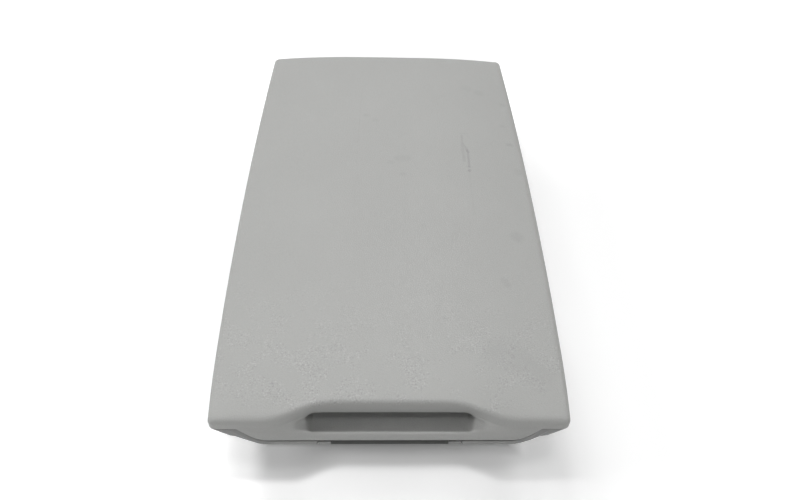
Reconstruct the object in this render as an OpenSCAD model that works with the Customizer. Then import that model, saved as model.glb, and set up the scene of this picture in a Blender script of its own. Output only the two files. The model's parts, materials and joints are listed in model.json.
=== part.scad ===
// Rear seat armrest: a padded lid over a moulded storage base, with a release paddle at the front
// and a pivot at each rear side. Millimetres, front towards -Y, origin under the middle of the box.

/* [Overall] */
// Width of the lid at its front corners
front_w = 228.5; // [220:0.5:234]
// Width of the lid at its widest place
mid_w = 234.5; // [230:0.5:246]
// Width of the lid at its rear corners
rear_w = 222; // [214:1:230]
// Length of the lid, without the lower lip
lid_len = 392; // [380:1:420]
// Height from the underside to the top of the crown
body_h = 92; // [90:1:98]
// Distance from the front of the lid to its widest place
wide_at = 140; // [110:1:190]

/* [Lid] */
// Rise of the top from its edges to its middle
crown_h = 6; // [4:0.5:7]
// Share of that rise that is gone at the front edge
front_fall = 0.75; // [0.6:0.05:0.9]
// Radius of the top edge
edge_r = 4; // [3:0.5:6]
// Height of the side skirt below the edge of the top
skirt_h = 14; // [14:0.5:15]
// Radius of the front corners seen from above
corner_r = 3.5; // [3.5:0.5:8]
// Radius of the rear corners seen from above
rear_corner_r = 8; // [7:1:10]
// Thickness of the pad over the carrier, at the edges
pad_t = 9; // [8.5:0.5:9.5]
// Thickness of the pad around its pocket
pad_wall = 9; // [8:0.5:9]
// Depth of the solid block of the pad behind the front face
front_block = 38; // [37:0.5:39]

/* [Front of the lid] */
// Depth of the scoop in the middle of the front edge
scoop_d = 10; // [8:0.5:11]
// Half width over which the scoop has its full depth
scoop_full = 38; // [30:1:42]
// Half width at which the scoop ends
scoop_end = 80; // [74:1:88]
// Height of the lip over the finger recess, from the edge of the top
lip_h = 10; // [9:0.5:10]
// Width of the finger recess
pull_w = 112; // [100:1:118]
// Length over which each end of the recess rounds off
pull_end = 8; // [6:1:10]
// Radius by which the ends of the recess are rounded towards its lip and its rim
pull_round = 4; // [2:0.5:6]
// Depth of the finger recess behind the front face
pull_d = 32.5; // [30:0.5:33]
// Thickness of the floor of the recess
pull_floor = 3.2; // [3:0.1:3.5]
// Distance that the lower lip stands out in front
chin_out = 3; // [2:0.5:4]
// Distance that the lower lip reaches below the side seam
chin_drop = 10.5; // [9:0.5:11]
// Half width over which the lower lip has its full height
chin_full = 80; // [76:1:82]
// Half width at which the lower lip ends
chin_end = 97; // [94:1:99]

/* [Lower shell] */
// Gap between the lid and the lower shell
seam_gap = 0.8; // [0.6:0.1:1]
// Distance that the lower shell stays inside the outline of the lid
shell_inset = 0.8; // [0.5:0.1:1.2]
// Wall of the lower shell
shell_wall = 3; // [2.6:0.1:3.2]
// Slope of the sides of the lower shell, in degrees
side_draft = 8; // [6:0.5:9]
// Radius along the bottom edges
bottom_r = 14; // [12:0.5:15]
// Height of the upright band at the top of the front wall
band_h = 3.6; // [3:0.2:5]
// Rise of the lower edge of that band towards the front corners
band_lift = 3.6; // [2:0.2:5]
// Slope of the front wall below its upright band, in degrees
bow_a = 42; // [38:0.5:43]
// Corner radius of the front wall seen from above, below its upright band
knee_r = 15; // [13:1:20]
// Corner radius of the underside seen from above
sole_r = 34; // [28:1:38]

/* [Storage tub] */
// Gap between the bin and the steel side plates
bin_gap = 3.5; // [3:0.5:8]
// Distance from the front of the lid to the inside of the bin
bin_front = 57.5; // [57:0.5:62]
// Distance from the rear of the lid to the inside of the bin
bin_rear = 50.5; // [50:0.5:60]
// Height of the inside floor of the bin
bin_floor = 12; // [11:0.5:16]
// Wall of the tub
tub_wall = 2.5; // [2:0.1:2.6]
// Corner radius of the bin
bin_r = 14; // [8:1:18]

/* [Frame and pivot] */
// Thickness of the steel plates
plate_t = 2.5; // [2:0.1:2.5]
// Distance from the rear corners of the lid in to the steel side plates
plate_in = 21; // [20.5:0.5:22]
// Radius of the rear underside, about the seat pivot
pivot_r = 32; // [31:0.5:33]
// Radius of the bore of each pivot bush
bush_bore = 6; // [5:0.25:6.5]
// Outside radius of each pivot bush
bush_r = 9.5; // [9:0.25:10]
// Outside radius of the pivot tube
tube_r = 12; // [11.5:0.25:13]
// Outside radius of the front cross tube
cross_r = 6.5; // [5:0.25:7]

/* [Lid hinge] */
// Length of the hinge
hinge_len = 140; // [100:1:150]
// Number of knuckles
knuckles = 7; // [5:2:9]
// Radius of the knuckles
knuckle_r = 3.2; // [3:0.1:3.3]
// Radius of the hinge rod
rod_r = 1.5; // [1.2:0.1:1.7]
// Thickness of the hinge leaves
leaf_t = 1.5; // [1.2:0.1:1.6]
// Height of the hinge axis below the side seam
hinge_drop = 3.5; // [3.5:0.1:3.8]

/* [Release paddle and latch] */
// Width of the release paddle
paddle_w = 92; // [84:1:96]
// Distance from the ends of the paddle to the ends of its finger slot
slot_in = 8; // [7:0.5:14]
// Depth of the finger slot
slot_d = 15; // [14:0.5:15.5]
// Height of the release paddle
paddle_h = 23.5; // [23:0.5:24.5]
// Radius of the latch pin
pin_r = 2; // [1.5:0.1:2.2]
// Radius of the steel wire of the striker
wire_r = 2.5; // [2:0.1:2.6]
// Half width between the legs of the striker
striker_half = 9; // [8.5:0.25:11]
// Clearance of a pin that turns in its bore
run_gap = 0.05; // [0.02:0.01:0.08]

/* [Hidden] */
$fn = 48;
eps = 0.01;

// Places along the length, with the box of the whole part centred on the origin
lid_front = -(lid_len - chin_out)/2;
lid_rear = lid_front + lid_len;
wide_y = lid_front + wide_at;

// Heights
edge_z = body_h - crown_h;
seam_z = edge_z - skirt_h;
chin_z = seam_z - chin_drop;
roof_z = edge_z - pad_t;
rim_z = seam_z - seam_gap;
flange_z = rim_z - 1.4;
hinge_z = seam_z - hinge_drop;
rear_rim_z = hinge_z - knuckle_r - 3.3;

// Half width of the level strip along the middle of the top, and its distance from each end
flat_half = 28;
top_reach = 60;

// Plan of the front corners
corner_x = half_w(lid_front + corner_r) - corner_r;
pull_half = pull_w/2;

function smooth(t) = t <= 0 ? 0 : t >= 1 ? 1 : t*t*(3 - 2*t);
function mix(a, b, t) = a + (b - a)*t;
function fade(v, full, none) = 1 - smooth((v - full)/(none - full));

// Half width of the lid at a place along its length
function half_w(y) = y < wide_y
    ? mid_w/2 - (mid_w - front_w)/2*pow((wide_y - y)/(wide_y - lid_front), 2)
    : mid_w/2 - (mid_w - rear_w)/2*pow((y - wide_y)/(lid_rear - wide_y), 2);

// Weights of the scoop, the recess and the lower lip across the front
pull_power = 3;
chin_power = 1.6;
function scoop_at(x) = fade(abs(x), scoop_full, scoop_end);
function pull_at(x, v) = let (half = pull_half - pull_round*(1 - sqrt(1 - v*v)))
    let (t = (abs(x) - half + pull_end)/pull_end)
    t <= 0 ? 1 : t >= 1 ? 0 : pow(1 - pow(t, pull_power), 1/pull_power);
function chin_at(x) = 1 - pow(min(max((abs(x) - chin_full)/(chin_end - chin_full), 0), 1), chin_power);
function seam_at(x) = mix(seam_z, chin_z, chin_at(x));
function crown_at(x, y) = let (t = (abs(x) - flat_half)/(half_w(y) - flat_half))
    let (d = (lid_front + top_reach - y)/top_reach)
    crown_h*(1 - pow(max(t, 0), 2))*(1 - front_fall*pow(max(d, 0), 2));

// Stations of a ring, from the middle of the front round the right side to the middle of the rear.
// Each is [kind, value]: 0 front at x, 1 front corner at an angle, 2 side at a share of its
// length, 3 rear corner at an angle, 4 rear at a share of its half width.
function half_ring(front_xs, corner_n, side_n, rear_n) = concat(
    [for (x = front_xs) [0, x]],
    [for (i = [1:corner_n]) [1, 90*i/corner_n]],
    [for (i = [1:side_n]) [2, i/side_n]],
    [for (i = [1:3]) [3, 30*i]],
    [for (i = [1:rear_n]) [4, 1 - i/rear_n]]);

// A place in plan for a station of a ring with insets f, s, b at front, side and rear, and with
// corner radii r and q at front and rear
function place(st, f, s, b, r, q) =
    let (y0 = lid_front + f + r, y1 = lid_rear - b - q)
    let (x0 = half_w(y0) - s - r, x1 = half_w(y1) - s - q)
    st[0] == 0 ? [st[1]*x0/corner_x, lid_front + f]
    : st[0] == 1 ? [x0 + r*sin(st[1]), y0 - r*cos(st[1])]
    : st[0] == 2 ? let (y = mix(y0, y1, st[1])) [half_w(y) - s, y]
    : st[0] == 3 ? [x1 + q*cos(st[1]), y1 + q*sin(st[1])]
    : [x1*st[1], lid_rear - b];

// The left half of a ring is the right half mirrored
function whole(half) = let (n = len(half))
    concat(half, [for (i = [n - 2:-1:1]) [-half[i][0], half[i][1], half[i][2]]]);

// The point of a ring that lies furthest to the right
function widest(ring) = let (xs = [for (p = ring) p[0]]) search(max(xs), xs)[0];

// A closed skin over a stack of rings with as many points each, the first and last of them level
module skin(rings) {
    m = len(rings[0]);
    n = len(rings);
    last = (n - 1)*m;
    sides = [for (k = [0:n - 2], i = [0:m - 1]) let (j = (i + 1)%m, a = k*m, b = a + m)
        each [[a + i, a + j, b + j], [a + i, b + j, b + i]]];
    p = widest(rings[0]);
    q = widest(rings[n - 1]);
    caps = [[for (i = [0:m - 1]) (p + m - i)%m], [for (i = [0:m - 1]) last + (q + i)%m]];
    polyhedron([for (r = rings) each r], concat(sides, caps));
}

// Lid pad: rows of its profile run from the level strip out over the edge, down the front or side,
// through the finger recess, round the seam and up into the pocket
round_as = [0, 25, 45, 65, 90];
spread = [1, 0.62, 0.35, 0.16, 0.05];
lip_r = 3;
rim_f = 0.4;
rim_drop = 16.3;
pull_top = 2.6;
pull_soft = 3;
pull_floor_z = chin_z + pull_floor;

function arc_in(r) = [for (a = round_as) r*(1 - sin(a))];
function arc_drop(r) = [for (a = round_as) r*(1 - cos(a))];

// Side rows as [inset, height], where the first ten heights count from the crown
low = 0.8;
pad_side = concat([for (t = spread) [mix(edge_r, mid_w/2 - flat_half, t), 0]],
        [for (i = [0:4]) [arc_in(edge_r)[i], -arc_drop(edge_r)[i]]],
        [for (j = [0:9]) [0, mix(edge_z - edge_r - 1, seam_z + 2*low, j/9)]],
        [[0, seam_z + low], [low, seam_z], [pad_wall, seam_z], [pad_wall, roof_z]]);

function pad_reach(t) = mix(edge_r, top_reach, t);
function bezier(a, b, c, t) = (1 - t)*(1 - t)*a + 2*t*(1 - t)*b + t*t*c;

// Front rows at a distance x from the middle
function pad_front(x) =
    let (w = scoop_at(x), c = chin_at(x), sc = scoop_d*w, r = mix(edge_r, lip_r, w))
    let (lip = [sc, edge_z - mix(edge_r + 1, lip_h, max(w, c))])
    let (rim = [-rim_f*c, mix(seam_z + 2*low, edge_z - rim_drop, c)])
    let (knee = [sc*0.5, mix((lip[1] + rim[1])/2, edge_z - 13, c)])
    let (cave = [[sc + 0.8, lip[1] - 1.4], [sc + 3, lip[1] - 2.2], [pull_d - 3, lip[1] - pull_top],
        [pull_d, lip[1] - pull_top - pull_soft], [pull_d, pull_floor_z + pull_soft],
        [pull_d - 3, pull_floor_z], [6, pull_floor_z + 2.4], [1.2, rim[1] - 1]])
    concat([for (t = spread) [pad_reach(t) + sc, 0]],
        [for (i = [0:4]) [sc + arc_in(r)[i], -arc_drop(r)[i]]],
        [lip],
        [for (j = [0:7]) let (t = (j + 1)/9)
            mix(bezier(lip, knee, rim, t), cave[j], pull_at(x, 2*t - 1))],
        [rim],
        [[-chin_out*c, seam_at(x) + low*(1 + 0.5*c)], [low - chin_out*c, seam_at(x)],
            [front_block, seam_at(x)], [front_block, roof_z]]);

function chin_xs() = concat([for (i = [0:4]) mix(chin_full, chin_end, i/4)],
    [for (i = [1:2]) mix(chin_end, corner_x, i/2)]);
function pad_xs() = let (flat = pull_half - pull_end)
    concat([0, flat/2], [for (a = [0:18:90]) flat + pull_end*sin(a)],
        [mix(pull_half, chin_full, 0.5)], chin_xs());

function pad_point(st, k) =
    let (fr = pad_front(st[0] == 0 ? st[1] : corner_x)[k], sd = pad_side[k])
    let (r = max(corner_r - sd[0], 3), q = max(rear_corner_r - sd[0], 3))
    let (p = place(st, fr[0], sd[0], min(sd[0], top_reach), r, q))
    let (t = st[0] == 0 ? 0 : st[0] == 1 ? st[1]/90 : 1, z = mix(fr[1], sd[1], t))
    [p[0], p[1], k < 10 ? edge_z + crown_at(p[0], p[1]) + z : z];

module lid_pad() {
    half = half_ring(pad_xs(), 4, 10, 4);
    color([0.71, 0.71, 0.7])
        skin([for (k = [0:len(pad_side) - 1]) whole([for (st = half) pad_point(st, k)])]);
}

// Flat outline of the pocket in the pad, drawn in by a gap
function plan(f, s, b, r, q) = [for (p = whole([for (st = half_ring([for (i = [0:4])
    corner_x*i/4], 4, 10, 4)) let (p = place(st, f, s, b, r, q)) [p[0], p[1], 0]])) [p[0], p[1]]];
module pocket_plan(gap) {
    polygon(plan(front_block + gap, pad_wall + gap, pad_wall + gap, 3, 3));
}

// Lid carrier: a plate bonded into the pad, with ribs, a rim and a land for the hinge leaf
carrier_t = 3;
carrier_z = roof_z - carrier_t;
liner_t = 2.5;
liner_z = carrier_z - liner_t;
rib_t = 2;
rib_in = 9;
plate_x = rear_w/2 - plate_in;
pocket_front = lid_front + front_block;
pocket_rear = lid_rear - pad_wall;
bin_y0 = lid_front + bin_front;
bin_y1 = lid_rear - bin_rear;
bin_half = plate_x - bin_gap - tub_wall;
hinge_y = lid_rear - 4;
land_front = hinge_y - 27;
pan_gap = 4;
pan_drop = 9;
pan_z = liner_z - pan_drop;
pan_x = bin_half - pan_gap;
pan_y0 = bin_y0 + pan_gap;
pan_y1 = min(bin_y1 - pan_gap, land_front - 8);
rib_h = carrier_z - pan_z - liner_t;

module lid_carrier() {
    ribs_x = 3;
    ribs_y = 6;
    color([0.2, 0.2, 0.21])
        difference() {
            union() {
                translate([0, 0, carrier_z])
                    linear_extrude(carrier_t) pocket_plan(0.2);
                translate([-pan_x + rib_in, pan_y0 + rib_in, pan_z + liner_t])
                    carrier_ribs(2*(pan_x - rib_in), pan_y1 - pan_y0 - 2*rib_in, ribs_x, ribs_y);
                translate([-hinge_len/2 - 6, land_front, hinge_z + knuckle_r])
                    cube([hinge_len + 12, hinge_y - 6 - land_front,
                        carrier_z - hinge_z - knuckle_r + eps]);
            }
            for (p = liner_screw_at())
                translate([p[0], p[1], carrier_z - 1])
                    cylinder(r = screw_r, h = screw_bite + 1);
            for (x = [-1, 1])
                translate([x*striker_screw_x, striker_y, carrier_z - 1])
                    cylinder(r = screw_r, h = screw_bite + 1);
            for (x = leaf_screw_xs())
                translate([x, leaf_screw_y, hinge_z + knuckle_r - 1])
                    cylinder(r = screw_r, h = screw_bite + 1);
        }
}

module carrier_ribs(w, l, nx, ny) {
    for (i = [0:nx + 1])
        translate([(w - rib_t)*i/(nx + 1), 0, 0])
            cube([rib_t, l, rib_h + eps]);
    for (i = [0:ny + 1])
        translate([0, (l - rib_t)*i/(ny + 1), 0])
            cube([w, rib_t, rib_h + eps]);
}

// Lid liner: a tray that closes the underside and plugs into the bin
module pan_solid(grow, low, high) {
    hull()
        for (x = [-1, 1], y = [pan_y0 + bin_r - grow, pan_y1 - bin_r + grow]) {
            translate([x*(pan_x - bin_r + grow), y, low])
                cylinder(r = bin_r - 2, h = eps, $fn = 32);
            translate([x*(pan_x - bin_r + grow), y, high - eps])
                cylinder(r = bin_r, h = eps, $fn = 32);
        }
}

module lid_liner() {
    color([0.24, 0.24, 0.25])
        difference() {
            union() {
                translate([0, 0, liner_z])
                    linear_extrude(liner_t)
                        intersection() {
                            pocket_plan(1);
                            translate([-mid_w/2, pocket_front])
                                square([mid_w, land_front - 1 - pocket_front]);
                        }
                pan_solid(0, pan_z, carrier_z);
            }
            pan_solid(-liner_t, pan_z + liner_t, carrier_z + eps);
            translate([-striker_plate_x - 1, striker_y - striker_plate_y - 1.5, liner_z - 1])
                cube([2*striker_plate_x + 2, 2*striker_plate_y + 3, liner_t + 2]);
            for (p = liner_screw_at())
                translate([p[0], p[1], liner_z])
                    screw_hole(liner_t + 1);
        }
}

// Screws: a sunk head with a cross recess on a plain shank, pointing up from the face
screw_r = 1.6;
screw_head_r = 3;
screw_head_h = 1.4;
screw_bite = 2.2;
screw_in = 0.8;
module screw(shank) {
    difference() {
        union() {
            cylinder(r1 = screw_head_r, r2 = screw_r - 0.02, h = screw_head_h);
            cylinder(r = screw_r - 0.02, h = shank);
        }
        for (a = [0, 90])
            rotate(a)
                translate([-1.6, -0.35, -eps])
                    cube([3.2, 0.7, 0.8]);
    }
}

// Hole for a screw that points up from the face, with its sunk seat
module screw_hole(depth) {
    cylinder(r1 = screw_head_r + 0.02, r2 = screw_r, h = screw_head_h);
    translate([0, 0, -1])
        cylinder(r = screw_r, h = depth + 1);
}

function liner_screw_at() = [for (x = [-1, 1], t = [0:2])
    [x*(pan_x + 9), mix(pan_y0 + 20, pan_y1 - 20, t/2)]];
module liner_screws() {
    color("silver")
        for (p = liner_screw_at())
            translate([p[0], p[1], liner_z])
                screw(liner_t + screw_bite - 0.2);
}

// Lid hinge
knuckle_gap = 0.4;
leaf_reach = 21;
leaf_screw_y = hinge_y - 15;
knuckle_w = hinge_len/knuckles;
function leaf_screw_xs() = [for (i = [0:3]) mix(-hinge_len/2 + 12, hinge_len/2 - 12, i/3)];

module knuckle_row(first) {
    for (i = [first:2:knuckles - 1])
        translate([-hinge_len/2 + i*knuckle_w + knuckle_gap/2, hinge_y, hinge_z])
            rotate([0, 90, 0])
                cylinder(r = knuckle_r, h = knuckle_w - knuckle_gap);
}

module rod_bore(gap) {
    translate([-hinge_len/2 - 1, hinge_y, hinge_z])
        rotate([0, 90, 0])
            cylinder(r = rod_r + gap, h = hinge_len + 2);
}

// Room for the knuckles of the other leaf
module knuckle_room(first) {
    for (i = [first:2:knuckles - 1])
        translate([-hinge_len/2 + i*knuckle_w - knuckle_gap/2, hinge_y - knuckle_r - 0.5,
                hinge_z - knuckle_r - 0.5])
            cube([knuckle_w + knuckle_gap, 2*knuckle_r + 1, 2*knuckle_r + 1]);
}

module hinge_leaf_lid() {
    color("silver")
        difference() {
            union() {
                knuckle_row(1);
                difference() {
                    translate([-hinge_len/2, hinge_y - leaf_reach, hinge_z + knuckle_r - leaf_t])
                        cube([hinge_len, leaf_reach, leaf_t]);
                    knuckle_room(0);
                }
            }
            rod_bore(run_gap);
            for (x = leaf_screw_xs())
                translate([x, leaf_screw_y, hinge_z + knuckle_r - leaf_t])
                    screw_hole(leaf_t + 1);
        }
}

module leaf_screws() {
    color("silver")
        for (x = leaf_screw_xs())
            translate([x, leaf_screw_y, hinge_z + knuckle_r - leaf_t])
                screw(leaf_t + screw_bite - 0.2);
}

// Striker: a bent steel wire loop on a plate under the front of the carrier
striker_y = pocket_front + 9.5;
striker_plate_t = 2;
striker_plate_x = striker_half + 13;
striker_plate_y = 6.5;
striker_drop = 26;
striker_z = carrier_z - striker_drop;
striker_bend = 5;
striker_screw_x = striker_half + 9;
module striker() {
    color("silver")
        union() {
            difference() {
                translate([-striker_plate_x, striker_y - striker_plate_y, carrier_z - striker_plate_t])
                    cube([2*striker_plate_x, 2*striker_plate_y, striker_plate_t]);
                for (x = [-1, 1])
                    translate([x*striker_screw_x, striker_y, carrier_z - striker_plate_t])
                        screw_hole(striker_plate_t + 1);
            }
            for (x = [-1, 1]) {
                translate([x*striker_half, striker_y, striker_z + striker_bend])
                    cylinder(r = wire_r, h = striker_drop - striker_bend - striker_plate_t + 0.5);
                translate([x*(striker_half - striker_bend), striker_y, striker_z + striker_bend])
                    rotate([-90, 0, 0])
                        rotate([0, 0, x > 0 ? 0 : 90])
                            rotate_extrude(angle = 90)
                                translate([striker_bend, 0])
                                    circle(r = wire_r);
            }
            translate([-(striker_half - striker_bend), striker_y, striker_z])
                rotate([0, 90, 0])
                    cylinder(r = wire_r, h = 2*(striker_half - striker_bend));
        }
}

module striker_screws() {
    color("silver")
        for (x = [-1, 1])
            translate([x*striker_screw_x, striker_y, carrier_z - striker_plate_t])
                screw(striker_plate_t + screw_bite - 0.2);
}

// Lower shell: rows of its wall run from the rim down to the flat underside
sole_steps = 4;
shell_lead = -0.5;
knee_in = 0.4;
front_f = shell_inset - (chin_out - shell_lead);
knee_z = chin_z - seam_gap - band_h;
knee_x = half_w(lid_front + knee_r) - shell_inset - (rim_z - 0.6 - knee_z)*tan(side_draft) - knee_r;

// Front rows as [inset, height] at a distance x from the middle, for the skin moved in by w
function shell_front(x, w) =
    let (f = shell_inset - (chin_out - shell_lead)*chin_at(x))
    let (top = seam_at(x*(1 - (shell_inset + w)/corner_x)) - seam_gap)
    let (foot_z = bottom_r*(1 - sin(bow_a)), r = bottom_r - w)
    let (foot_f = front_f + knee_in + (knee_z - foot_z)*tan(bow_a))
    let (mid_f = foot_f + bottom_r*cos(bow_a))
    let (c = chin_at(x*knee_x/corner_x), k = [mix(shell_inset, front_f, c) + knee_in + w,
        knee_z + band_lift*(1 - c) - w*tan(bow_a/2)])
    let (foot = [mid_f - r*cos(bow_a), bottom_r - r*sin(bow_a)])
    concat([[f + (w > 0 ? w : 0.6), top], [f + w, top - 0.6]],
        [for (t = [0:3]) mix(k, foot, t/3)],
        [for (i = [1:sole_steps]) let (a = mix(bow_a, 90, i/sole_steps))
            [mid_f - r*cos(a), bottom_r - r*sin(a)]]);

function shell_side(w) =
    let (top = rim_z, foot_z = bottom_r*(1 - sin(side_draft)))
    let (mid_s = shell_inset + (top - 0.6 - foot_z)*tan(side_draft) + bottom_r*cos(side_draft))
    let (r = bottom_r - w, high = [shell_inset + w, top - 0.6])
    let (foot = [mid_s - r*cos(side_draft), bottom_r - r*sin(side_draft)])
    let (k = mix(high, foot, (high[1] - knee_z)/(high[1] - foot[1])))
    concat([[shell_inset + (w > 0 ? w : 0.6), top], high],
        [for (t = [0:3]) mix(k, foot, t/3)],
        [for (i = [1:sole_steps]) let (a = mix(side_draft, 90, i/sole_steps))
            [mid_s - r*cos(a), bottom_r - r*sin(a)]]);

function shell_rear(w) =
    let (mid_b = shell_inset + pivot_r, r = pivot_r - w, top = hinge_z + 1.2)
    concat([[shell_inset + (w > 0 ? w : 0.6), top], [shell_inset + w, top - 0.6]],
        [for (t = [0:3]) [shell_inset + w, mix(knee_z, pivot_r, t/3)]],
        [for (i = [1:sole_steps]) let (a = 90*i/sole_steps) [mid_b - r*cos(a), pivot_r - r*sin(a)]]);

shell_rows = 6 + sole_steps;
function shell_point(st, k, w) =
    let (fr = shell_front(st[0] == 0 ? st[1] : corner_x, w)[k])
    let (sd = shell_side(w)[k], rr = shell_rear(w)[k])
    let (r = (k < 2 ? corner_r : mix(knee_r, sole_r, (k - 2)/(shell_rows - 3))) - w)
    let (q = (k < 2 ? rear_corner_r : mix(rear_corner_r, sole_r, (k - 2)/(shell_rows - 3))) - w)
    let (p = place(st, fr[0], sd[0], rr[0], r, q))
    let (z = st[0] == 0 ? fr[1] : st[0] == 1 ? mix(fr[1], sd[1], smooth(st[1]/90))
        : st[0] == 2 ? sd[1] : st[0] == 3 ? mix(sd[1], rr[1], smooth(st[1]/90)) : rr[1])
    [p[0], p[1], z];

function shell_xs() = concat([for (i = [0:3]) chin_full*i/4], chin_xs());

pivot_y = lid_rear - shell_inset - pivot_r;
pivot_z = pivot_r;
foot_h = bin_floor - tub_wall;
function foot_at() = [for (x = [-1, 1], t = [0:2]) [x*(bin_half - 22), mix(bin_y0 + 24,
    bin_y1 - 24, t/2)]];
paddle_gap = 0.7;
notch_half = hinge_len/2 + 4;

module base_shell() {
    half = half_ring(shell_xs(), 4, 8, 4);
    rings = concat([for (k = [shell_rows - 1:-1:0]) whole([for (st = half)
        shell_point(st, k, shell_wall)])],
        [for (k = [0:shell_rows - 1]) whole([for (st = half) shell_point(st, k, 0)])]);
    color([0.5, 0.5, 0.49])
        difference() {
            union() {
                skin(rings);
                for (p = foot_at())
                    translate([p[0], p[1], shell_wall - eps])
                        cylinder(r = 5.5, h = foot_h - shell_wall + eps);
                for (side = [-1, 1])
                    paddle_stop(side);
            }
            for (x = [-1, 1])
                translate([x*mid_w/2, pivot_y, pivot_z])
                    rotate([0, -90*x, 0])
                        cylinder(r = bush_r + 1, h = mid_w/2 - plate_x - plate_t - 3);
            difference() {
                translate([-paddle_w/2 - paddle_gap, lid_front - 10, paddle_low - 3.5])
                    cube([paddle_w + 2*paddle_gap, 50, body_h]);
                for (side = [-1, 1])
                    paddle_stop(side);
            }
            translate([-notch_half, hinge_y - 6, rear_rim_z])
                cube([2*notch_half, 20, body_h]);
            for (p = foot_at())
                translate([p[0], p[1], screw_in])
                    screw_hole(foot_h);
            for (p = foot_at())
                translate([p[0], p[1], -1])
                    cylinder(r = screw_head_r + 0.6, h = 1 + screw_in);
        }
}

// Lip of the shell behind each end of the release paddle
stop_reach = 1.5;
stop_t = 2;
module paddle_stop(side) {
    x0 = paddle_w/2 - stop_reach;
    x1 = paddle_w/2 + paddle_gap;
    t0 = face_t + 0.5;
    translate([side*(x0 + x1 + stop_t)/2, 0, 0])
        across((x1 + stop_t - x0)/2) face_strip(t0, t0 + stop_t);
    translate([side*(x1 + stop_t/2), 0, 0])
        across(stop_t/2) face_strip(1, t0 + eps);
}

// Section of the front between two depths behind its face, from the top of the band downwards
module face_strip(t0, t1) {
    z1 = paddle_low + 10;
    polygon([for (p = [[t0, 2], [t0, 1], [t0, 0], [t1, 0], [t1, 1], [t1, 2]])
        p[1] == 2 ? [face_y(knee_z) + p[0], apron_z - flange_t - 0.4]
        : p[1] == 1 ? [face_y(knee_z) + p[0], min(knee_z - p[0]*tan(bow_a/2), apron_z - flange_t - 0.5)]
        : [face_y(z1) + p[0]/cos(bow_a), z1]]);
}

module base_screws() {
    color("silver")
        for (p = foot_at())
            translate([p[0], p[1], screw_in])
                screw(foot_h - screw_in + 1.5);
}

// Storage tub: the bin, its flange, and a lower apron over the latch
flange_t = 2.5;
plate_flange = 11;
apron_half = chin_end + 1;
apron_y = pocket_front + 3.5;
apron_z = chin_z - seam_gap - 1;
apron_front = 16;
apron_back = 20;
hook_room = 24;
module bin_solid(wall, low, high) {
    translate([0, 0, low])
        linear_extrude(high - low)
            hull()
                for (x = [-1, 1], y = [bin_y0 + bin_r, bin_y1 - bin_r])
                    translate([x*(bin_half - bin_r), y])
                        circle(r = bin_r + wall, $fn = 32);
}

module shell_plan(gap) {
    w = shell_wall + gap;
    polygon(plan(shell_inset + w + 1, shell_inset + w, shell_inset + w, corner_r - 3, 4));
}

module storage_tub() {
    slot_x = striker_half + wire_r + 2.5;
    color([0.3, 0.3, 0.31])
        difference() {
            union() {
                translate([0, 0, flange_z - flange_t])
                    linear_extrude(flange_t)
                        difference() {
                            shell_plan(1.2);
                            translate([-apron_half, lid_front - 10])
                                square([2*apron_half, apron_y - lid_front + 10]);
                            translate([-notch_half, hinge_y - 6 - shell_wall])
                                square([2*notch_half, 20]);
                        }
                translate([0, 0, apron_z - flange_t])
                    linear_extrude(flange_t) {
                        translate([-chin_full + 4, lid_front + front_f + shell_wall + 1.5])
                            square([2*chin_full - 8, apron_back]);
                        translate([-apron_half - tub_wall, lid_front + apron_front])
                            square([2*(apron_half + tub_wall), apron_y + tub_wall - lid_front
                                - apron_front]);
                    }
                translate([-apron_half - tub_wall, apron_y, apron_z - flange_t])
                    cube([2*(apron_half + tub_wall), tub_wall, flange_z - apron_z + flange_t]);
                for (x = [-1, 1])
                    translate([x*(apron_half + tub_wall/2) - tub_wall/2, lid_front + apron_front,
                            apron_z - flange_t])
                        cube([tub_wall, apron_y - lid_front - apron_front + eps,
                            flange_z - apron_z + flange_t]);
                bin_solid(tub_wall, foot_h, flange_z);
            }
            bin_solid(0, bin_floor, flange_z + 1);
            translate([-slot_x, striker_y - 6, bin_floor])
                cube([2*slot_x, 12, body_h]);
            translate([-hook_half - 2, striker_y - hook_room, apron_z - hook_room/2])
                cube([2*hook_half + 4, hook_room - 4, hook_room]);
            translate([-paddle_w/2 - 2, lid_front, apron_z - hook_room/2])
                cube([paddle_w + 4, slot_d + 9, hook_room]);
            for (p = tub_screw_at())
                translate([p[0], p[1], flange_z])
                    mirror([0, 0, 1])
                        screw_hole(flange_t + 1);
            for (p = foot_at())
                translate([p[0], p[1], 0])
                    cylinder(r = screw_r, h = foot_h + 1.7);
        }
}

function tub_screw_at() = [for (x = [-1, 1], t = [0:2])
    [x*(plate_x + plate_flange/2 - 0.5), mix(bin_y0 + 30, pivot_y - 24, t/2)]];
module tub_screws() {
    color("silver")
        for (p = tub_screw_at())
            translate([p[0], p[1], flange_z])
                mirror([0, 0, 1])
                    screw(flange_t + plate_t - 0.2);
}

// Rubber mat on the floor of the bin, with ribs along it
mat_t = 1.5;
module tub_mat() {
    w = 2*(bin_half - 3);
    l = bin_y1 - bin_y0 - 6;
    pitch = 9;
    n = floor((w - 12)/pitch);
    color([0.12, 0.12, 0.12]) {
        translate([0, bin_y0 + 3 + l/2, bin_floor])
            linear_extrude(mat_t)
                hull()
                    for (x = [-1, 1], y = [-1, 1])
                        translate([x*(w/2 - bin_r), y*(l/2 - bin_r)])
                            circle(r = bin_r - 1, $fn = 32);
        for (i = [0:n])
            translate([-n*pitch/2 + i*pitch - 1.5, bin_y0 + 18, bin_floor + mat_t - eps])
                cube([3, bin_y1 - bin_y0 - 36, 1 + eps]);
    }
}

bumper_in = 12.5;
module lid_bumpers() {
    color([0.1, 0.1, 0.1])
        for (x = [-1, 1], y = [apron_y + 12, land_front - 14])
            translate([x*(half_w(y) - bumper_in), y, flange_z])
                cylinder(r1 = 4.5, r2 = 4, h = liner_z - flange_z - 0.1);
}

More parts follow.
